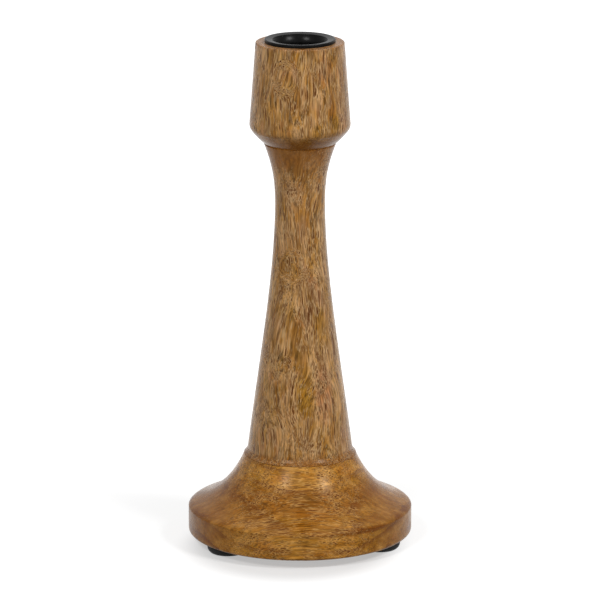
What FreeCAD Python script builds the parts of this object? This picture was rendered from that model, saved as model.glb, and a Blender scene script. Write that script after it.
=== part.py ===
"""A turned wooden candlestick with a metal candle socket, in millimetres.

Z is up, the floor under the rubber feet is at zero, and everything that is turned is turned about the Z axis.
The outlines are points (r, z): the distance from the axis and the height.
The viewer stands on the -Y side, so the left foot is at -X and the rear foot at +Y.
"""

import FreeCAD, Part
import math
import os

# Wooden body, from the floor up
foot_height = 3.4
base_height = 31.5
stem_height = 123.85
cup_height = 39.7

# Base: a disc with a low upright rim, a full shoulder and a hollow curve that climbs to the stem
base_radius = 43.7
base_rim_height = 10.3
base_crease_round = 0.6
base_bottom_round = 1.5
base_top_round = 0.25
cove_bend_shares = ((0.925, 0.128), (0.387, 0.102))

# Stem: a waisted column with a flared foot, and a tenon that is let into the base
stem_lip_radius = 21.92
stem_lip_edge = 0.2
stem_foot_radius = 20.45
stem_neck_radius = 9.715
stem_top_radius = 13.9
stem_flare_height = 2.3
stem_neck_height_share = 0.8125
flare_bend_shares = (0.3, 0.45)
stem_lower_bend_shares = ((0.628, 0.334), (0.0, 0.704))
stem_upper_bend_shares = ((0.0, 0.388), (0.25, 0.636))
seam_step = 0.1
tenon_radius = 10.0
tenon_length = 10.0
tenon_chamfer = 0.8

# Cup: a tapered block, widest near its lower end, with a rounded underside
cup_top_radius = 17.14
cup_top_round = 0.5
cup_belly_radius = 19.63
cup_belly_height = 6.5
cup_belly_round = 4.0
cup_underside_bulge = 0.3
cup_land = 0.1
joint_groove_depth = 0.25
joint_groove_half_width = 0.2

# Socket: a metal cup with a dished flange that lies on the wood
socket_bore_radius = 10.5
socket_depth = 21.2
socket_sheet = 0.7
socket_flange_radius = 13.66
socket_rim_height = 1.33
socket_rim_round = 0.35
socket_mouth_height = 0.9
socket_mouth_round = 0.3
socket_corner_round = 2.4

# Dowel that joins the cup to the stem
dowel_radius = 4.0
dowel_in_cup = 8.0
dowel_in_stem = 12.0
dowel_chamfer = 0.8
dowel_flute_count = 14
dowel_flute_depth = 0.35
dowel_flute_radius = 0.5

# Rubber feet, on a ring inside the rim
foot_radius = 8.05
foot_inset = 9.5
foot_bottom_round = 2.5
foot_recess_radius = 3.2
foot_web = 1.6
foot_sides = ("rear", "left", "right")
first_foot_angle = 95.0

# Screw that draws the stem into the base, from below
base_screw_length = 50.0
base_screw_threaded = 34.0
base_screw_thread_radius = 2.5
base_screw_core_radius = 1.75
base_screw_pitch = 2.4
base_screw_point = 4.0
base_screw_head_radius = 4.7
base_screw_head_height = 3.0
base_screw_head_edge = 1.2
base_counterbore_radius = 6.0
base_counterbore_depth = 7.0

# Small screws: one in the socket's floor and one in each foot
small_screw_length = 9.0
small_screw_threaded = 6.6
small_screw_thread_radius = 1.45
small_screw_core_radius = 1.05
small_screw_pitch = 1.2
small_screw_point = 1.4
small_screw_head_radius = 2.6
small_screw_head_height = 1.5
small_screw_head_edge = 0.6

# Cross recess of a screw head, as shares of the head
recess_reach_share = 0.58
recess_width_share = 0.2
recess_depth_share = 0.6
recess_floor_share = 0.5

# Clearances
wood_fit = 0.05
end_gap = 0.5
socket_fit = 0.1
socket_seat_chamfer = 0.3
socket_floor_gap = 0.3
screw_fit = 0.1
thread_root_bite = 0.1
overrun = 1.0

# Heights of the seats between the pieces
base_z = foot_height
crease_z = base_z + base_rim_height
seam_z = base_z + base_height
joint_z = seam_z + stem_height
cup_top_z = joint_z + cup_height
rim_top_z = cup_top_z + socket_rim_height
mouth_z = cup_top_z + socket_mouth_height
socket_floor_z = mouth_z - socket_depth
tenon_end_z = seam_z - tenon_length
base_head_z = base_z + base_counterbore_depth
foot_head_z = foot_height - foot_web

# Radii that one piece takes from another
cove_top_radius = stem_lip_radius - seam_step
foot_ring_radius = base_radius - foot_inset

up = FreeCAD.Vector(0, 0, 1)
across = FreeCAD.Vector(1, 0, 0)
origin = FreeCAD.Vector(0, 0, 0)
full_turn = 360
half_turn = 180


class Outline:
    """A closed outline on one side of the axis, drawn from point to point."""

    def __init__(self, r, z):
        self.first = FreeCAD.Vector(r, 0, z)
        self.last = self.first
        self.edges = []

    def line(self, r, z):
        end = FreeCAD.Vector(r, 0, z)
        self.edges.append(Part.LineSegment(self.last, end).toShape())
        self.last = end
        return self

    def arc(self, through, r, z):
        end = FreeCAD.Vector(r, 0, z)
        middle = FreeCAD.Vector(through[0], 0, through[1])
        self.edges.append(Part.Arc(self.last, middle, end).toShape())
        self.last = end
        return self

    def curve(self, bends, r, z):
        """A Bezier curve that the points in bends pull towards them."""
        end = FreeCAD.Vector(r, 0, z)
        poles = [self.last] + [FreeCAD.Vector(bend[0], 0, bend[1]) for bend in bends] + [end]
        bezier = Part.BezierCurve()
        bezier.setPoles(poles)
        self.edges.append(bezier.toShape())
        self.last = end
        return self

    def soft_corner(self, corner, after, radius):
        """A line towards corner, and a round of that radius that leads on towards after."""
        point = FreeCAD.Vector(corner[0], 0, corner[1])
        back = (self.last - point).normalize()
        ahead = (FreeCAD.Vector(after[0], 0, after[1]) - point).normalize()
        half = back.getAngle(ahead) / 2
        start = point + back * (radius / math.tan(half))
        end = point + ahead * (radius / math.tan(half))
        middle = point + (back + ahead).normalize() * (radius / math.sin(half) - radius)
        self.line(start.x, start.z)
        return self.arc((middle.x, middle.z), end.x, end.z)

    def turned(self):
        self.line(self.first.x, self.first.z)
        face = Part.Face(Part.Wire(self.edges))
        return face.revolve(origin, up, full_turn)


def between(start, end, shares):
    """The point that lies at the given shares of the way from start to end, along r and along z."""
    return tuple(a + (b - a) * share for a, b, share in zip(start, end, shares))


def bulged_middle(start, end, bulge):
    """The middle of an arc from start to end that stands out to the right of that way by bulge."""
    run = (end[0] - start[0], end[1] - start[1])
    length = math.hypot(*run)
    middle = between(start, end, (0.5, 0.5))
    return (middle[0] - run[1] / length * bulge, middle[1] + run[0] / length * bulge)


def on_round(centre, radius, angle):
    """The point on a round about centre at an angle in degrees from the r direction."""
    turn = math.radians(angle)
    return (centre[0] + radius * math.cos(turn), centre[1] + radius * math.sin(turn))


def cylinder(radius, low_z, high_z, x=0, y=0):
    return Part.makeCylinder(radius, high_z - low_z, FreeCAD.Vector(x, y, low_z), up)


def rounded(solid, radius, ring_radius, ring_z):
    """The solid with its circular edge at ring_radius and ring_z rounded."""
    near = min(solid.Edges, key=lambda edge: ring_distance(edge, ring_radius, ring_z))
    return solid.makeFillet(radius, [near])


def ring_distance(edge, ring_radius, ring_z):
    """How far a circular edge about the axis lies from the ring; other edges are out of reach."""
    if not isinstance(edge.Curve, Part.Circle):
        return math.inf
    return math.hypot(edge.Curve.Radius - ring_radius, edge.Curve.Center.z - ring_z)


def foot_place(number):
    """Where a foot stands: the feet share the ring evenly, counted from the rear one."""
    turn = math.radians(first_foot_angle + full_turn * number / len(foot_sides))
    return FreeCAD.Vector(foot_ring_radius * math.cos(turn), foot_ring_radius * math.sin(turn), 0)


# Screws

def cross_recess(head_radius, head_height):
    """The cross that a driver fits, cut up into a head whose crown is at -head_height."""
    reach = head_radius * recess_reach_share
    width = head_radius * recess_width_share
    depth = head_height * recess_depth_share
    floor_reach = reach * recess_floor_share
    floor_width = width * recess_floor_share
    arm = Part.makeWedge(
        -reach, -overrun, -width, -floor_width, -floor_reach, reach, depth, width, floor_width, floor_reach
    )
    arm.rotate(origin, across, full_turn / 4)
    arm.translate(FreeCAD.Vector(0, 0, -head_height))
    other = arm.copy()
    other.rotate(origin, up, full_turn / 4)
    return arm.fuse(other)


def screw_thread(thread_radius, core_radius, pitch, low_z, high_z):
    """A ridge that winds about the core from low_z to high_z."""
    root = core_radius - thread_root_bite
    half = pitch / 4
    helix = Part.makeHelix(pitch, high_z - low_z, root)
    helix.translate(FreeCAD.Vector(0, 0, low_z))
    corners = [(root, low_z - half), (thread_radius, low_z), (root, low_z + half), (root, low_z - half)]
    section = Part.makePolygon([FreeCAD.Vector(r, 0, z) for r, z in corners])
    return Part.Wire(helix.Edges).makePipeShell([section], True, True)


def wood_screw(head_radius, head_height, head_edge, thread_radius, core_radius, length, threaded, point, pitch):
    """A crowned screw that points up, with its head's seat at zero and its thread ending short of the point."""
    crown_rise = head_height - head_edge
    crown_radius = (head_radius ** 2 + crown_rise ** 2) / (2 * crown_rise)
    half_reach = head_radius / 2
    crown_drop = crown_radius - math.sqrt(crown_radius ** 2 - half_reach ** 2)
    outline = Outline(0, -head_height)
    outline.arc((half_reach, -head_height + crown_drop), head_radius, -head_edge)
    outline.line(head_radius, 0)
    outline.line(thread_radius, 0)
    outline.line(thread_radius, length - threaded)
    outline.line(core_radius, length - threaded + (thread_radius - core_radius))
    outline.line(core_radius, length - point)
    outline.line(0, length)
    blank = outline.turned().cut(cross_recess(head_radius, head_height))
    thread_low = length - threaded + pitch
    thread_high = length - point - pitch / 2
    return blank.fuse(screw_thread(thread_radius, core_radius, pitch, thread_low, thread_high))


def base_screw_solid():
    screw = wood_screw(
        base_screw_head_radius,
        base_screw_head_height,
        base_screw_head_edge,
        base_screw_thread_radius,
        base_screw_core_radius,
        base_screw_length,
        base_screw_threaded,
        base_screw_point,
        base_screw_pitch,
    )
    screw.translate(FreeCAD.Vector(0, 0, base_head_z))
    return screw


def small_screw_solid():
    return wood_screw(
        small_screw_head_radius,
        small_screw_head_height,
        small_screw_head_edge,
        small_screw_thread_radius,
        small_screw_core_radius,
        small_screw_length,
        small_screw_threaded,
        small_screw_point,
        small_screw_pitch,
    )


def insert_screw_solid():
    screw = small_screw_solid()
    screw.rotate(origin, across, half_turn)
    screw.translate(FreeCAD.Vector(0, 0, socket_floor_z))
    return screw


def foot_screw_solid(number):
    screw = small_screw_solid()
    screw.translate(foot_place(number) + FreeCAD.Vector(0, 0, foot_head_z))
    return screw


# Base

def base_outline():
    """The rim, the curve above it, full and then hollow, and the flat top that the stem stands on."""
    top = (cove_top_radius, seam_z)
    crease = (base_radius, crease_z)
    bends = [between(top, crease, (share_out, 1 - share_up)) for share_out, share_up in cove_bend_shares]
    outline = Outline(0, base_z)
    outline.line(base_radius, base_z)
    outline.line(*crease)
    outline.curve(bends, *top)
    outline.line(0, seam_z)
    return outline


def base_solid():
    solid = base_outline().turned()
    solid = rounded(solid, base_bottom_round, base_radius, base_z)
    solid = rounded(solid, base_crease_round, base_radius, crease_z)
    solid = rounded(solid, base_top_round, cove_top_radius, seam_z)
    mortise = cylinder(tenon_radius + wood_fit, tenon_end_z - end_gap, seam_z + overrun)
    counterbore = cylinder(base_counterbore_radius, base_z - overrun, base_head_z)
    screw_hole = cylinder(base_screw_thread_radius + screw_fit, base_z, seam_z)
    solid = solid.cut(mortise.fuse([counterbore, screw_hole]))
    pilot_radius = small_screw_thread_radius + screw_fit
    pilot_top = foot_head_z + small_screw_length + end_gap
    for number in range(len(foot_sides)):
        place = foot_place(number)
        solid = solid.cut(cylinder(pilot_radius, base_z - overrun, pilot_top, place.x, place.y))
    return solid


# Stem

def stem_outline():
    """The tenon, the flared foot, the waist and the chamfered top edge."""
    foot = (stem_foot_radius, seam_z + stem_flare_height)
    lip = (stem_lip_radius, seam_z + stem_lip_edge)
    neck = (stem_neck_radius, seam_z + stem_height * stem_neck_height_share)
    shoulder = (stem_top_radius, joint_z - joint_groove_half_width)
    outline = Outline(0, tenon_end_z)
    outline.line(tenon_radius - tenon_chamfer, tenon_end_z)
    outline.line(tenon_radius, tenon_end_z + tenon_chamfer)
    outline.line(tenon_radius, seam_z)
    outline.line(stem_lip_radius - stem_lip_edge, seam_z)
    outline.line(*lip)
    flare_bend = (
        stem_foot_radius + (stem_lip_radius - stem_foot_radius) * flare_bend_shares[0],
        lip[1] + (foot[1] - lip[1]) * flare_bend_shares[1],
    )
    outline.curve([flare_bend], *foot)
    outline.curve([waist_bend(foot, neck, shares) for shares in stem_lower_bend_shares], *neck)
    upper = [
        (neck[0] + (shoulder[0] - neck[0]) * radius_share, neck[1] + (shoulder[1] - neck[1]) * height_share)
        for radius_share, height_share in stem_upper_bend_shares
    ]
    outline.curve(upper, *shoulder)
    outline.line(stem_top_radius - joint_groove_depth, joint_z)
    outline.line(0, joint_z)
    return outline


def waist_bend(foot, neck, shares):
    """A point that pulls the stem's side: shares of the foot's width past the neck and of the way up."""
    return (neck[0] + (foot[0] - neck[0]) * shares[0], foot[1] + (neck[1] - foot[1]) * shares[1])


def stem_solid():
    solid = stem_outline().turned()
    dowel_hole = cylinder(dowel_radius + wood_fit, joint_z - dowel_in_stem - end_gap, joint_z + overrun)
    pilot_top = base_head_z + base_screw_length + end_gap
    pilot = cylinder(base_screw_thread_radius + screw_fit, tenon_end_z - overrun, pilot_top)
    return solid.cut(dowel_hole.fuse(pilot))


# Cup

def cup_outline():
    """The chamfered lower edge, the rounded underside, the tapered side and the flat top."""
    foot = (stem_top_radius, joint_z + joint_groove_half_width + cup_land)
    belly = (cup_belly_radius, joint_z + cup_belly_height)
    outline = Outline(0, joint_z)
    outline.line(stem_top_radius - joint_groove_depth, joint_z)
    outline.line(stem_top_radius, joint_z + joint_groove_half_width)
    outline.line(*foot)
    outline.arc(bulged_middle(belly, foot, cup_underside_bulge), *belly)
    outline.line(cup_top_radius, cup_top_z)
    outline.line(0, cup_top_z)
    return outline


def cup_solid():
    solid = cup_outline().turned()
    solid = rounded(solid, cup_belly_round, cup_belly_radius, joint_z + cup_belly_height)
    solid = rounded(solid, cup_top_round, cup_top_radius, cup_top_z)
    bore_radius = socket_bore_radius + socket_sheet + socket_fit
    bore_floor_z = socket_floor_z - socket_sheet - socket_floor_gap
    hollow = Outline(0, bore_floor_z)
    hollow.line(bore_radius, bore_floor_z)
    hollow.line(bore_radius, cup_top_z - socket_seat_chamfer)
    hollow.line(bore_radius + socket_seat_chamfer, cup_top_z)
    hollow.line(bore_radius + socket_seat_chamfer, cup_top_z + overrun)
    hollow.line(0, cup_top_z + overrun)
    dowel_hole = cylinder(dowel_radius + wood_fit, joint_z - overrun, joint_z + dowel_in_cup + end_gap)
    pilot_floor_z = socket_floor_z - small_screw_length - end_gap
    pilot = cylinder(small_screw_thread_radius + screw_fit, pilot_floor_z, bore_floor_z + overrun)
    return solid.cut(hollow.turned().fuse([dowel_hole, pilot]))


# Socket

def socket_solid():
    """A flange that dips from its rim to the mouth, a straight wall and a floor with a screw hole."""
    outer_radius = socket_bore_radius + socket_sheet
    under_z = socket_floor_z - socket_sheet
    corner_inner = socket_corner_round - socket_sheet
    corner = (outer_radius - socket_corner_round, under_z + socket_corner_round)
    rim = (socket_flange_radius, rim_top_z)
    lip = (socket_bore_radius, mouth_z)
    down_right = -full_turn / 8
    hole_radius = small_screw_thread_radius + screw_fit
    outline = Outline(hole_radius, under_z)
    outline.line(corner[0], under_z)
    outline.arc(on_round(corner, socket_corner_round, down_right), outer_radius, corner[1])
    outline.line(outer_radius, cup_top_z)
    outline.line(socket_flange_radius, cup_top_z)
    outline.soft_corner(rim, lip, socket_rim_round)
    outline.soft_corner(lip, (socket_bore_radius, corner[1]), socket_mouth_round)
    outline.line(socket_bore_radius, corner[1])
    outline.arc(on_round(corner, corner_inner, down_right), corner[0], socket_floor_z)
    outline.line(hole_radius, socket_floor_z)
    return outline.turned()


# Dowel

def dowel_solid():
    """A chamfered pin with straight flutes that let the glue past."""
    low_z = joint_z - dowel_in_stem
    high_z = joint_z + dowel_in_cup
    outline = Outline(0, low_z)
    outline.line(dowel_radius - dowel_chamfer, low_z)
    outline.line(dowel_radius, low_z + dowel_chamfer)
    outline.line(dowel_radius, high_z - dowel_chamfer)
    outline.line(dowel_radius - dowel_chamfer, high_z)
    outline.line(0, high_z)
    flute_distance = dowel_radius - dowel_flute_depth + dowel_flute_radius
    flutes = []
    for number in range(dowel_flute_count):
        turn = math.radians(number * full_turn / dowel_flute_count)
        x = flute_distance * math.cos(turn)
        y = flute_distance * math.sin(turn)
        flutes.append(cylinder(dowel_flute_radius, low_z - overrun, high_z + overrun, x, y))
    return outline.turned().cut(flutes)


# Feet

def foot_solid(number):
    """A rubber disc with a rounded lower edge and a recess that hides its screw."""
    solid = cylinder(foot_radius, 0, foot_height)
    solid = rounded(solid, foot_bottom_round, foot_radius, 0)
    recess = cylinder(foot_recess_radius, -overrun, foot_head_z)
    hole = cylinder(small_screw_thread_radius + screw_fit, 0, foot_height + overrun)
    solid = solid.cut(recess.fuse(hole))
    solid.translate(foot_place(number))
    return solid


def pieces():
    """Every piece of the candlestick by its name."""
    made = {
        "base": base_solid(),
        "stem": stem_solid(),
        "cup": cup_solid(),
        "socket_insert": socket_solid(),
        "cup_dowel": dowel_solid(),
        "base_screw": base_screw_solid(),
        "insert_screw": insert_screw_solid(),
    }
    for number, side in enumerate(foot_sides):
        made["foot_" + side] = foot_solid(number)
        made["foot_screw_" + side] = foot_screw_solid(number)
    return made


os.makedirs("parts", exist_ok=True)
for name, shape in pieces().items():
    print(name, "solids", len(shape.Solids), "valid", shape.isValid(), "volume", round(shape.Volume, 3))
    shape.exportStep("parts/" + name + ".step")
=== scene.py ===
"""The candlestick's looks: turned and lacquered wood, a black metal socket, zinc screws and rubber feet.

Lengths are in metres in the row frame, Z up, with the viewer on the -Y side.
The materials work in millimetres, from the place of each point in the object.
"""

import bpy
import math
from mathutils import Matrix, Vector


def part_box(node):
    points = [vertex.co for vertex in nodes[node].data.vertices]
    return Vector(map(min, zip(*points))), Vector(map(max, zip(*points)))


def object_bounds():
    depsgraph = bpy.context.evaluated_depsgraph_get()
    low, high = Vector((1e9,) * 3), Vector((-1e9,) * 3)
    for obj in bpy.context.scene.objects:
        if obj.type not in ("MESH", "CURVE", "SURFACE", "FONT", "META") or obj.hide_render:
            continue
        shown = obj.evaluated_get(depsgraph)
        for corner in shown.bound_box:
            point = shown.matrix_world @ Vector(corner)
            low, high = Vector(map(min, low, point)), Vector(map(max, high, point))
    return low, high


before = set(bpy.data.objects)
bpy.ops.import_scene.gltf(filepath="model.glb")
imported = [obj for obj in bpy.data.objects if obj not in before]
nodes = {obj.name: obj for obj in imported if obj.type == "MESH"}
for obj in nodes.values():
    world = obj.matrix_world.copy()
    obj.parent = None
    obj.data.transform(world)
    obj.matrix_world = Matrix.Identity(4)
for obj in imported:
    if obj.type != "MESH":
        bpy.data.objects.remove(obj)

cad_low, cad_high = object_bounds()

# Heights that the materials follow, in millimetres, read from the pieces
MM = 1000.0
seam_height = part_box("base")[1].z * MM
joint_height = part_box("cup")[0].z * MM
cup_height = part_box("cup")[1].z * MM


def srgb(red, green, blue):
    """A colour given in 0 to 255 as the linear values that the shaders use."""
    def linear(value):
        share = value / 255
        return share / 12.92 if share <= 0.04045 else ((share + 0.055) / 1.055) ** 2.4
    return (linear(red), linear(green), linear(blue), 1.0)


# Nodes

# A mark is full up to this share of its reach, and fades from there
mark_core = 0.35


class Graph:
    """The nodes of a material or of the world. Each method adds nodes and returns what they give."""

    def __init__(self, owner):
        owner.use_nodes = True
        self.tree = owner.node_tree
        self.tree.nodes.clear()

    def put(self, kind, inputs=None, output=0, **settings):
        """Adds one node. With output None it returns the node itself."""
        node = self.tree.nodes.new(kind)
        for name, value in settings.items():
            setattr(node, name, value)
        self.fill(node, inputs or {})
        return node.outputs[output] if output is not None else node

    def fill(self, node, inputs):
        """Gives each named input its value, or a link where the value is another node's output."""
        for name, value in inputs.items():
            if isinstance(value, bpy.types.NodeSocket):
                self.tree.links.new(value, node.inputs[name])
            else:
                node.inputs[name].default_value = value

    def math(self, operation, first, second=0.0):
        return self.put("ShaderNodeMath", {0: first, 1: second}, operation=operation)

    def chained(self, operation, values):
        """The operation on the first two values, then on that and the next one, and so on."""
        total = values[0]
        for value in values[1:]:
            total = self.math(operation, total, value)
        return total

    def add(self, *values):
        return self.chained("ADD", values)

    def times(self, *values):
        return self.chained("MULTIPLY", values)

    def larger(self, *values):
        return self.chained("MAXIMUM", values)

    def less(self, first, second):
        return self.math("SUBTRACT", first, second)

    def vector(self, operation, first, second=(0, 0, 0), output=0, **named):
        inputs = {0: first, 1: second, **named}
        return self.put("ShaderNodeVectorMath", inputs, output, operation=operation)

    def length(self, vector):
        return self.vector("LENGTH", vector, output="Value")

    def parts(self, vector):
        node = self.put("ShaderNodeSeparateXYZ", {0: vector}, None)
        return node.outputs[0], node.outputs[1], node.outputs[2]

    def joined(self, x, y, z):
        return self.put("ShaderNodeCombineXYZ", {0: x, 1: y, 2: z})

    def stretched(self, vector, across, along):
        """The place counted in cells that are across wide and along long, the fibre being the third axis."""
        return self.vector("MULTIPLY", vector, (1 / across, 1 / across, 1 / along))

    def noise(self, vector, detail, roughness, output="Fac"):
        inputs = {"Vector": vector, "Scale": 1.0, "Detail": detail, "Roughness": roughness}
        return self.put("ShaderNodeTexNoise", inputs, output)

    def cells(self, vector):
        """How far the nearest of many scattered points is, and that point's own chance colour."""
        node = self.put("ShaderNodeTexVoronoi", {"Vector": vector, "Scale": 1.0}, None)
        return node.outputs["Distance"], node.outputs["Color"]

    def ranged(self, value, low, high, to_low=0.0, to_high=1.0):
        """Goes softly from to_low to to_high as the value goes from low to high, and stays within them."""
        inputs = {"Value": value, "From Min": low, "From Max": high, "To Min": to_low, "To Max": to_high}
        return self.put("ShaderNodeMapRange", inputs, interpolation_type="SMOOTHSTEP")

    def blend(self, share, first, second, kind="MIX"):
        """The first colour where share is 0, and where it is 1 the second one, or what kind makes of both."""
        node = self.put("ShaderNodeMix", output=None, data_type="RGBA", blend_type=kind)
        self.fill(node, {0: share, 6: first, 7: second})
        return node.outputs[2]

    def seen(self):
        """1 for what is seen, straight, mirrored or through glass, and 0 for the light that it gives."""
        path = self.put("ShaderNodeLightPath", output=None)
        rays = ("Is Camera Ray", "Is Glossy Ray", "Is Transmission Ray")
        return self.larger(*[path.outputs[ray] for ray in rays])


class Material(Graph):
    """A material's nodes, which know the place of each point in the object, in millimetres."""

    def __init__(self, name):
        self.material = bpy.data.materials.new(name)
        super().__init__(self.material)
        self.place = self.vector("SCALE", self.put("ShaderNodeTexCoord", output="Object"), Scale=MM)

    def mottled(self, cells_per_mm, detail, roughness):
        """Noise in round cells."""
        return self.noise(self.vector("SCALE", self.place, Scale=cells_per_mm), detail, roughness)

    def near(self, centre, reach):
        """1 at a place in the object and 0 beyond its reach along each axis, in millimetres."""
        off = self.vector("DIVIDE", self.vector("SUBTRACT", self.place, centre), reach)
        return self.ranged(self.length(off), mark_core, 1.0, 1.0, 0.0)

    def bump(self, height):
        """The surface's tilt from a height in millimetres."""
        return self.put("ShaderNodeBump", {"Height": height, "Strength": 1.0, "Distance": 1 / MM})

    def finish(self, **sockets):
        """Joins the surface shader to the output. A socket's name has underscores for its spaces."""
        shader = self.put("ShaderNodeBsdfPrincipled", output=None)
        self.fill(shader, {name.replace("_", " "): value for name, value in sockets.items()})
        self.put("ShaderNodeOutputMaterial", {"Surface": shader.outputs[0]}, None)
        return self.material


# Wood

# Noise of each kind, as its cells across and along the fibre in millimetres, its detail and its roughness
grain_noise = {
    "ring_gap": (9.0, 14.0, 2.0, 0.5),
    "crowd": (3.6, 8.0, 2.0, 0.5),
    "streak": (2.4, 40.0, 3.0, 0.6),
    "thread": (0.55, 12.0, 2.0, 0.6),
    "ochre": (8.0, 17.0, 2.0, 0.5),
    "rosy": (6.0, 13.0, 2.0, 0.5),
    "cloud": (4.5, 9.0, 2.0, 0.6),
    "surface": (2.0, 2.6, 1.0, 0.5),
    "gloss": (3.0, 5.0, 3.0, 0.5),
}

# The fibre's wander is smooth noise, with this detail and roughness
drift_noise = (0.0, 0.5)

# The two values that a kind of noise is read between, and what it gives at each, or else 0 and 1
grain_range = {
    "ring_gap": (0.38, 0.62, 0.15, 1.0),
    "crowd": (0.34, 0.64, 0.35, 1.2),
    "streak": (0.3, 0.7),
    "thread": (0.28, 0.72),
    "ochre": (0.52, 0.7, 0.0, 0.7),
    "rosy": (0.54, 0.72, 0.0, 0.6),
    "cloud": (0.38, 0.62),
    "gloss": (0.3, 0.7, 0.22, 0.3),
}

# Where the patches of each tone are cut from their noise, in millimetres
patch_shift = {"ochre": (0.0, 0.0, 0.0), "rosy": (31.0, 7.0, 3.0)}

# A pore and the pale sheath round it fade out between two distances, in shares of half the pore's width
pore_edge = (0.7, 1.05, 1.0, 0.0)
sheath_edge = (1.1, 1.9, 1.0, 0.0)

# Between which shares of a growth ring its dark late wood sets in, and between which it ends
late_start = (0.6, 0.92)
late_end = (0.95, 1.0, 1.0, 0.0)

# What the crowding of the pores gains along the rings, and the share that it loses in calm wood
ring_crowding = 0.3
calm_crowding = 0.75

# What a look's fibre contrast is multiplied by in deep clouds, what that loses in faded ones,
# and the share that the contrast loses in calm wood
deep_contrast = 1.15
faded_contrast = 0.35
calm_contrast = 0.6

# How much a pore is darkened, from the faintest to the darkest, and a thin pore and its sheath
pore_strength = (0.55, 1.0)
thin_strength = 0.75
thin_sheath = 0.6

# Relief in millimetres, with a thin pore's depth as a share of a full one's
pore_depth = 0.04
thin_depth = 0.3
thread_height = 0.01
surface_height = 0.02

# The lacquer's shine, and how much rougher it is in a pore
pore_roughness = 0.2
lacquer_level = 0.15
lacquer_tint = (1.0, 0.85, 0.65, 1.0)


def grain(graph, place, kind):
    """Noise of one kind, drawn out along the fibre."""
    across, along, detail, roughness = grain_noise[kind]
    return graph.noise(graph.stretched(place, across, along), detail, roughness)


def grained(graph, place, kind):
    """Noise of one kind, read over its range."""
    return graph.ranged(grain(graph, place, kind), *grain_range[kind])


def marked(graph, marks, kind):
    """How much of the marks of one kind lies on a point."""
    share = 0.0
    for centre, reach, strength in marks.get(kind, ()):
        share = graph.larger(share, graph.times(graph.near(centre, reach), strength))
    return share


def wood_place(graph, lies_flat, shift):
    """The place with the fibre as its third axis: up a stem or cup, and along X in the flat base."""
    x, y, z = graph.parts(graph.place)
    turned = graph.joined(y, z, x) if lies_flat else graph.joined(x, y, z)
    return graph.vector("ADD", turned, shift)


def fibre_place(graph, place, drifts, swirls):
    """The place with the wander of the fibre: waves of (across, along, reach), and swirls at their places."""
    fibre = place
    for across, along, reach in drifts:
        wave = graph.noise(graph.stretched(place, across, along), *drift_noise, "Color")
        wave = graph.vector("SUBTRACT", wave, (0.5, 0.5, 0.5))
        fibre = graph.vector("ADD", fibre, graph.vector("MULTIPLY", wave, (2 * reach, 2 * reach, 0)))
    for centre, reach, push in swirls:
        swirl = graph.vector("SCALE", push, Scale=graph.near(centre, reach))
        fibre = graph.vector("ADD", fibre, swirl)
    return fibre


def pores(graph, fibre, across, along, thin, thick, crowding):
    """Cut vessels: how much of one shows at a point, the pale sheath round it, and its own chance number."""
    distance, chance = graph.cells(graph.stretched(fibre, across, along))
    size_chance, own_chance = graph.parts(chance)[:2]
    width = graph.times(graph.ranged(size_chance, 0.0, 1.0, thin, thick), crowding)
    share = graph.math("DIVIDE", distance, width)
    pore = graph.ranged(share, *pore_edge)
    sheath = graph.times(graph.ranged(share, *sheath_edge), graph.less(1.0, pore))
    return pore, sheath, own_chance


def rings(graph, place, fibre, pith, spacing):
    """Growth rings about a pith line: a thin dark late band with a sharp end, which fades out in places."""
    off = graph.vector("SUBTRACT", fibre, (*pith, 0))
    radius = graph.length(graph.vector("MULTIPLY", off, (1, 1, 0)))
    share = graph.math("FRACT", graph.math("DIVIDE", radius, spacing))
    band = graph.times(graph.ranged(share, *late_start), graph.ranged(share, *late_end))
    return graph.times(band, grained(graph, place, "ring_gap"))


def patches(graph, place, fibre, tones, marks, faded):
    """The wood's colour under its fibres and pores: streaks, patches of other tones and clouds, with the
    marks over them, many of which are painted shade and reflection.
    """
    colour = graph.blend(grained(graph, fibre, "streak"), tones["mid"], tones["pale"])
    for tone, shift in patch_shift.items():
        patch = grained(graph, graph.vector("ADD", place, shift), tone)
        colour = graph.blend(graph.larger(patch, marked(graph, marks, tone)), colour, tones[tone])
    colour = graph.blend(1.0, colour, graph.blend(faded, deep_tint, faded_tint), "MULTIPLY")
    # Brown marks: a few brown patches of the wood, and painted shade for the most part
    return graph.blend(marked(graph, marks, "brown_and_painted_shade"), colour, tones["brown_and_painted_shade"])


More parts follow.
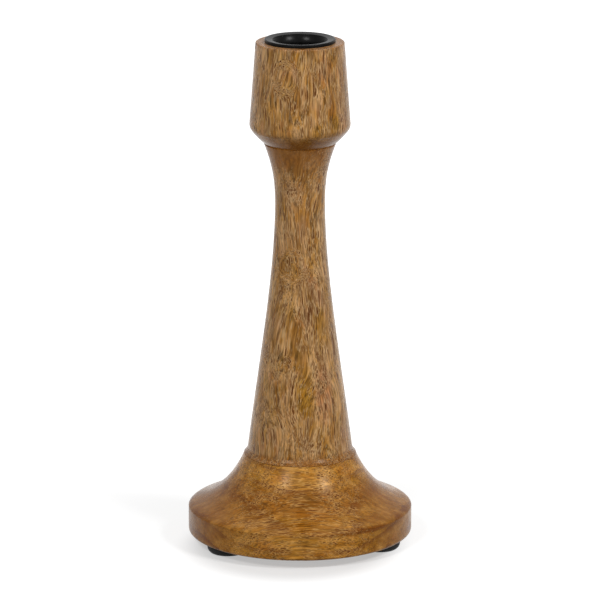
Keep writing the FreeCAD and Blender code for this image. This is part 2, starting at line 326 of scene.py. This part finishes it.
def wood(name, tones, look, marks):
    """Lacquered hardwood with wavy, interlocked fibre and short dark pores that follow it."""
    graph = Material(name)
    place = wood_place(graph, look["lies_flat"], look["shift"])
    fibre = fibre_place(graph, place, look["drifts"], marks.get("swirl", ()))
    calm = marked(graph, marks, "calm")
    ring = rings(graph, place, fibre, look["pith"], look["ring_spacing"])

    # Two sizes of pores, crowded in some places and along the rings, and few in calm wood
    crowding = graph.add(grained(graph, place, "crowd"), graph.times(ring, ring_crowding))
    crowding = graph.times(crowding, graph.less(1.0, graph.times(calm, calm_crowding)))
    pore, sheath, chance = pores(graph, fibre, *look["pores"], crowding)
    thin, pale_thin = pores(graph, fibre, *look["thin_pores"], crowding)[:2]

    # Single fibres, lighter and darker than the patch they lie in
    faded = grained(graph, fibre, "cloud")
    thread = grain(graph, fibre, "thread")
    contrast = graph.times(look["thread_contrast"], graph.less(1.0, graph.times(calm, calm_contrast)))
    contrast = graph.times(contrast, graph.less(deep_contrast, graph.times(faded, faded_contrast)))
    darkest = graph.less(1.0, contrast)
    lightest = graph.add(1.0, contrast)
    light = graph.ranged(thread, *grain_range["thread"], darkest, lightest)
    colour = patches(graph, place, fibre, tones, marks, faded)
    colour = graph.blend(1.0, colour, graph.joined(light, light, light), "MULTIPLY")

    # Rings, sheaths, thin pores and pores, one over the other
    pale = graph.larger(sheath, graph.times(pale_thin, thin_sheath))
    colour = graph.blend(graph.times(ring, look["ring_strength"]), colour, tones["dark"])
    colour = graph.blend(graph.times(pale, look["sheath_strength"]), colour, tones["light"])
    colour = graph.blend(graph.times(thin, thin_strength), colour, tones["dark"])
    depth = graph.ranged(chance, 0.0, 1.0, *pore_strength)
    colour = graph.blend(graph.times(pore, depth), colour, tones["pore"])

    relief = graph.add(
        graph.times(graph.add(pore, graph.times(thin, thin_depth)), -pore_depth),
        graph.times(thread, thread_height),
        graph.times(grain(graph, place, "surface"), surface_height),
    )
    return graph.finish(
        Base_Color=colour,
        Roughness=graph.add(grained(graph, place, "gloss"), graph.times(pore, pore_roughness)),
        Normal=graph.bump(relief),
        Specular_IOR_Level=lacquer_level,
        Specular_Tint=lacquer_tint,
    )


stem_tones = {
    "pale": srgb(186, 142, 90),
    "mid": srgb(143, 97, 43),
    "ochre": srgb(146, 102, 34),
    "rosy": srgb(164, 112, 72),
    "brown_and_painted_shade": srgb(130, 76, 14),
    "light": srgb(214, 178, 130),
    "dark": srgb(94, 46, 2),
    "pore": srgb(86, 42, 4),
}
base_tones = {
    "pale": srgb(194, 138, 62),
    "mid": srgb(152, 97, 24),
    "ochre": srgb(150, 98, 12),
    "rosy": srgb(166, 104, 38),
    "brown_and_painted_shade": srgb(112, 58, 2),
    "light": srgb(226, 176, 106),
    "dark": srgb(100, 46, 0),
    "pore": srgb(92, 42, 2),
}
dowel_tones = {
    "pale": srgb(214, 184, 140),
    "mid": srgb(196, 162, 116),
    "ochre": srgb(200, 168, 118),
    "rosy": srgb(206, 170, 130),
    "brown_and_painted_shade": srgb(186, 150, 104),
    "light": srgb(224, 196, 154),
    "dark": srgb(150, 112, 70),
    "pore": srgb(150, 112, 70),
}

# What the wood's colour is multiplied by in its deep and in its faded clouds
deep_tint = (0.84, 0.79, 0.56, 1.0)
faded_tint = (1.13, 1.18, 1.34, 1.0)

# Lengths are in millimetres, and the shift is where in the noise a piece is cut
# Pores are given as their cells across and along the fibre, and half the thinnest and thickest width in cells
stem_look = {
    "lies_flat": False,
    "shift": (0.0, 0.0, 0.0),
    "drifts": ((17.0, 36.0, 4.5), (7.0, 15.0, 1.8)),
    "pith": (20.0, 70.0),
    "ring_spacing": 6.0,
    "ring_strength": 0.4,
    "pores": (0.66, 9.0, 0.12, 0.44),
    "thin_pores": (0.36, 11.0, 0.2, 0.48),
    "sheath_strength": 0.55,
    "thread_contrast": 0.62,
}
cup_look = dict(
    stem_look,
    shift=(57.0, 23.0, 11.0),
    drifts=((17.0, 36.0, 2.5), (5.0, 10.0, 1.0)),
    pores=(0.7, 9.0, 0.12, 0.44),
    thin_pores=(0.36, 10.0, 0.2, 0.48),
    thread_contrast=0.64,
)
base_look = dict(
    stem_look,
    lies_flat=True,
    shift=(5.0, 0.0, 17.0),
    drifts=((26.0, 40.0, 4.0), (6.0, 12.0, 0.9)),
    pores=(0.6, 6.5, 0.12, 0.42),
    thin_pores=(0.36, 8.0, 0.2, 0.46),
    pith=(0.0, -90.0),
    ring_spacing=7.0,
    ring_strength=0.6,
    sheath_strength=0.45,
    thread_contrast=0.5,
)
dowel_look = dict(stem_look, shift=(90.0, 12.0, 60.0))


# Marks on the pieces of wood, as (centre, reach, strength) in millimetres in the object: patches of their own
# tones, and painted shade and reflection where noted
# A swirl has the push across the fibre in place of the strength

all_round_reach = 60.0
flank_out = 40.0
flank_forward = 14.0
flank_reach = (26.0, 50.0)


def all_round(height, half_height, strength):
    """A mark that goes round the axis at a height."""
    return (0.0, 0.0, height), (all_round_reach, all_round_reach, half_height), strength


def flank(side, height, half_height, strength):
    """A mark on the base's left flank, side -1, or on its right one, side 1."""
    return (side * flank_out, -flank_forward, height), (*flank_reach, half_height), strength


cup_marks = {
    "swirl": (((-5.5, -17.0, 187.5), (6.0, 8.0, 8.0), (0.0, 5.0, 0.0)),),
    "ochre": (((13.2, -14.2, 169.5), (3.4, 6.0, 6.0), 1.0),),
    # The second rosy mark, a ring round the cup's top face, is painted reflection and shade there; the first
    # is a rosy patch of the wood
    "rosy": (((9.5, -14.5, 190.0), (4.0, 8.0, 9.0), 0.7), all_round(cup_height + 1.5, 3.4, 0.7)),
    "brown_and_painted_shade": (
        # Painted shade on the cup's underside
        all_round(joint_height - 1.0, 9.5, 0.75),
        ((1.0, -18.3, 181.8), (2.6, 6.0, 5.0), 0.6),
        ((-9.3, -15.9, 181.3), (2.8, 6.0, 4.5), 0.6),
        ((-0.2, -18.5, 176.0), (3.4, 6.0, 5.0), 0.4),
        ((11.6, -14.9, 174.7), (3.0, 6.0, 5.0), 0.5),
        # Painted shade on the cup's top face
        all_round(cup_height + 1.5, 3.4, 0.25),
    ),
    "calm": (all_round(joint_height, 10.0, 1.0),),
}
stem_marks = {
    "brown_and_painted_shade": (
        # Painted shade on the top of the stem, under the cup
        all_round(joint_height + 3.0, 20.0, 0.7),
        # Painted shade on the flared foot of the stem, which faces up into the lamps
        all_round(seam_height + 0.5, 3.6, 0.8),
        ((-1.0, -12.0, 133.0), (9.0, 12.0, 26.0), 0.4),
    ),
    "calm": (((-5.0, -8.0, joint_height), (22.0, 22.0, 15.0), 1.0),),
    "ochre": (((1.8, -17.5, 62.0), (5.0, 6.0, 16.0), 1.0),),
    "rosy": (((9.5, -15.0, 63.0), (5.0, 7.0, 17.0), 0.85),),
    "swirl": (((-3.0, -11.0, 112.0), (7.0, 8.0, 8.0), (0.0, 4.0, 0.0)),),
}
base_marks = {
    "brown_and_painted_shade": (
        # Painted shade in a band round the cove, where it faces up towards the lamps
        ((0.0, -20.0, 22.4), (70.0, 70.0, 6.5), 0.6),
        # Painted shade in two thin bands, along the base's upper edge and just above it
        ((0.0, -40.0, 13.9), (60.0, 30.0, 2.2), 0.25),
        ((0.0, -38.0, 16.6), (60.0, 30.0, 2.6), 0.25),
        # Painted shade on the base's flanks, darker on the left than on the right
        flank(-1, 16.0, 24.0, 0.55),
        flank(1, 16.0, 24.0, 0.35),
        ((26.0, -33.0, 13.4), (22.0, 16.0, 1.6), 0.9),
    ),
    "calm": (flank(-1, 14.0, 30.0, 1.0), flank(1, 14.0, 30.0, 1.0)),
}


# Metal and rubber
# A noise is given as its cells per millimetre, its detail and its roughness, and heights are in millimetres

coat_ripple = (0.8, 1.0, 0.5)
coat_ripple_height = 0.003
coat_wear = (0.45, 4.0, 0.6)
coat_wear_range = (0.4, 0.8)
coat_black = (0.003, 0.003, 0.003, 1.0)
coat_worn = (0.007, 0.007, 0.0075, 1.0)
coat_roughness = (0.3, 0.7, 0.24, 0.3)
coat_level = 0.1

# The bore's wall opens out below the mouth, which only its shading shows
mouth_height = cup_height + 0.6
flange_middle = 12.0
flare_depth = 3.8
flare_slope = 0.75


def flared(graph):
    """The height that tilts the bore's wall outwards near the mouth and leaves the flange level."""
    x, y, z = graph.parts(graph.place)
    on_flange = graph.math("GREATER_THAN", graph.length(graph.joined(x, y, 0.0)), flange_middle)
    rise = graph.larger(graph.less(z, mouth_height - flare_depth), graph.times(on_flange, flare_depth), 0.0)
    rise = graph.math("MINIMUM", rise, flare_depth)
    return graph.times(rise, rise, -flare_slope / (2 * flare_depth))


def black_metal():
    """Smooth black coating, a little worn to grey."""
    graph = Material("black_metal")
    ripple = graph.mottled(*coat_ripple)
    wear = graph.mottled(*coat_wear)
    return graph.finish(
        Base_Color=graph.blend(graph.ranged(wear, *coat_wear_range), coat_black, coat_worn),
        Roughness=graph.ranged(wear, *coat_roughness),
        Normal=graph.bump(graph.add(flared(graph), graph.times(ripple, coat_ripple_height))),
        Specular_IOR_Level=coat_level,
    )


zinc_patches = (0.6, 3.0, 0.5)
zinc_patch_range = (0.35, 0.65)
zinc_blue = (0.55, 0.56, 0.6, 1.0)
zinc_yellow = (0.62, 0.59, 0.5, 1.0)
zinc_pits = (8.0, 2.0, 0.5)
zinc_pit_height = 0.004
zinc_roughness = (0.3, 0.7, 0.25, 0.42)


def screw_steel():
    """Zinc-plated steel: bright, a little yellow and blue in patches, and finely pitted."""
    graph = Material("screw_steel")
    tint = graph.mottled(*zinc_patches)
    pits = graph.mottled(*zinc_pits)
    return graph.finish(
        Base_Color=graph.blend(graph.ranged(tint, *zinc_patch_range), zinc_blue, zinc_yellow),
        Metallic=1.0,
        Roughness=graph.ranged(pits, *zinc_roughness),
        Normal=graph.bump(graph.times(pits, zinc_pit_height)),
    )


rubber_pebbles = (5.0, 2.0, 0.5)
rubber_pebble_height = 0.02
rubber_dust = (0.7, 4.0, 0.6)
rubber_dust_range = (0.5, 0.8)
rubber_black = (0.006, 0.006, 0.006, 1.0)
rubber_dusty = (0.02, 0.02, 0.019, 1.0)
rubber_roughness = (0.3, 0.7, 0.6, 0.75)
rubber_level = 0.3


def foot_rubber():
    """Matt black moulded rubber with a fine pebbled skin and a little dust."""
    graph = Material("foot_rubber")
    pebbles = graph.mottled(*rubber_pebbles)
    dust = graph.mottled(*rubber_dust)
    return graph.finish(
        Base_Color=graph.blend(graph.ranged(dust, *rubber_dust_range), rubber_black, rubber_dusty),
        Roughness=graph.ranged(dust, *rubber_roughness),
        Normal=graph.bump(graph.times(pebbles, rubber_pebble_height)),
        Specular_IOR_Level=rubber_level,
    )


def dress(material, *names):
    """Gives the named pieces their material."""
    for name in names:
        for slot in nodes[name].material_slots:
            slot.material = material


dress(wood("stem_wood", stem_tones, stem_look, stem_marks), "stem")
dress(wood("cup_wood", stem_tones, cup_look, cup_marks), "cup")
dress(wood("base_wood", base_tones, base_look, base_marks), "base")
dress(wood("dowel_wood", dowel_tones, dowel_look, {}), "cup_dowel")
dress(black_metal(), "socket_insert")
dress(screw_steel(), "base_screw", "insert_screw", "foot_screw_left", "foot_screw_right", "foot_screw_rear")
dress(foot_rubber(), "foot_left", "foot_right", "foot_rear")


# Camera, with its sensor in millimetres, its picture in pixels and its pitch in degrees

sensor_width = 36.0
image_size = 600
focal_pixels = 5098.0
camera_distance = 1.919
camera_height = 0.5857
camera_pitch = 14.31
nearest_seen = 0.1
farthest_seen = 20.0


def add_camera():
    """The photograph's view: a long lens in front of the stick, looking down a little."""
    data = bpy.data.cameras.new("camera")
    data.sensor_width = sensor_width
    data.lens = focal_pixels / image_size * sensor_width
    data.clip_start = nearest_seen
    data.clip_end = farthest_seen
    camera = bpy.data.objects.new("camera", data)
    camera.location = (0, -camera_distance, camera_height)
    camera.rotation_euler = (math.radians(90 - camera_pitch), 0, 0)
    bpy.context.scene.collection.objects.link(camera)
    bpy.context.scene.camera = camera


# Floor
# Its glow fills its grey up to white. The glow is lower near the base, which paints a soft contact shadow
# round and in front of it over the real shadow, and far_glow adds to it further out; each glow is given as
# two distances in millimetres and what it gives at them

floor_half = 3.0
floor_bounce = 0.48
floor_shown = 0.45
painted_shadow_centre = (-3.0, -14.0, 0.0)
painted_shadow_reach = (0.92, 1.0, 1.0)
painted_shadow_glow = (34.0, 52.0, 0.45, 0.74)
far_glow = (60.0, 220.0, 0.0, 0.4)


def floor_paper():
    """Paper that shows white where it is lit and grey in the object's shadow, with a painted contact shadow
    round the base, and clear from below.
    """
    graph = Material("floor")
    seen = graph.seen()
    grey = graph.ranged(seen, 0.0, 1.0, floor_bounce, floor_shown)
    paper = graph.put("ShaderNodeBsdfDiffuse", {"Color": graph.joined(grey, grey, grey)})
    # A painted contact shadow: the glow is lower near a point just in front of the base
    contact = graph.vector("DIVIDE", graph.vector("SUBTRACT", graph.place, painted_shadow_centre), painted_shadow_reach)
    near = graph.ranged(graph.length(contact), *painted_shadow_glow)
    far = graph.ranged(graph.length(graph.place), *far_glow)
    glow = graph.put("ShaderNodeEmission", {"Strength": graph.times(seen, graph.add(near, far))})
    both = graph.put("ShaderNodeAddShader", {0: paper, 1: glow})
    behind = graph.put("ShaderNodeNewGeometry", output="Backfacing")
    clear = graph.put("ShaderNodeBsdfTransparent")
    surface = graph.put("ShaderNodeMixShader", {0: behind, 1: both, 2: clear})
    graph.put("ShaderNodeOutputMaterial", {"Surface": surface}, None)
    return graph.material


def add_floor():
    """A square floor under the feet."""
    mesh = bpy.data.meshes.new("floor")
    corners = [(x * floor_half, y * floor_half, 0) for x, y in ((-1, -1), (1, -1), (1, 1), (-1, 1))]
    mesh.from_pydata(corners, [], [(0, 1, 2, 3)])
    mesh.materials.append(floor_paper())
    floor = bpy.data.objects.new("floor", mesh)
    bpy.context.scene.collection.objects.link(floor)


# Light, with angles in degrees, and each softbox as its bearing and its power in watts

world_grey = (0.8, 0.8, 0.8, 1.0)
world_light = 0.3
softbox_rise = 40
softbox_distance = 1.3
softbox_size = 0.3
softboxes = {"left_softbox": (-30, 6.0), "right_softbox": (52, 8.0)}


def add_world():
    """An even soft light, which shows as a pale grey where the floor doesn't cover it."""
    world = bpy.data.worlds.new("studio")
    bpy.context.scene.world = world
    graph = Graph(world)
    strength = graph.ranged(graph.seen(), 0.0, 1.0, world_light, 1.0)
    background = graph.put("ShaderNodeBackground", {"Color": world_grey, "Strength": strength})
    graph.put("ShaderNodeOutputWorld", {"Surface": background}, None)


def add_softbox(name, bearing, power):
    """A square lamp that faces the stick, at a bearing counted to the right from the viewer."""
    turn = math.radians(bearing)
    rise = math.radians(softbox_rise)
    middle = (cad_low + cad_high) / 2
    data = bpy.data.lights.new(name, "AREA")
    data.size = softbox_size
    data.energy = power
    lamp = bpy.data.objects.new(name, data)
    lamp.location = (
        middle.x + softbox_distance * math.cos(rise) * math.sin(turn),
        middle.y - softbox_distance * math.cos(rise) * math.cos(turn),
        middle.z + softbox_distance * math.sin(rise),
    )
    lamp.rotation_euler = (middle - lamp.location).to_track_quat("-Z", "Y").to_euler()
    bpy.context.scene.collection.objects.link(lamp)


add_camera()
add_floor()
add_world()
for name, (bearing, power) in softboxes.items():
    add_softbox(name, bearing, power)

bpy.context.scene.view_settings.view_transform = "Standard"
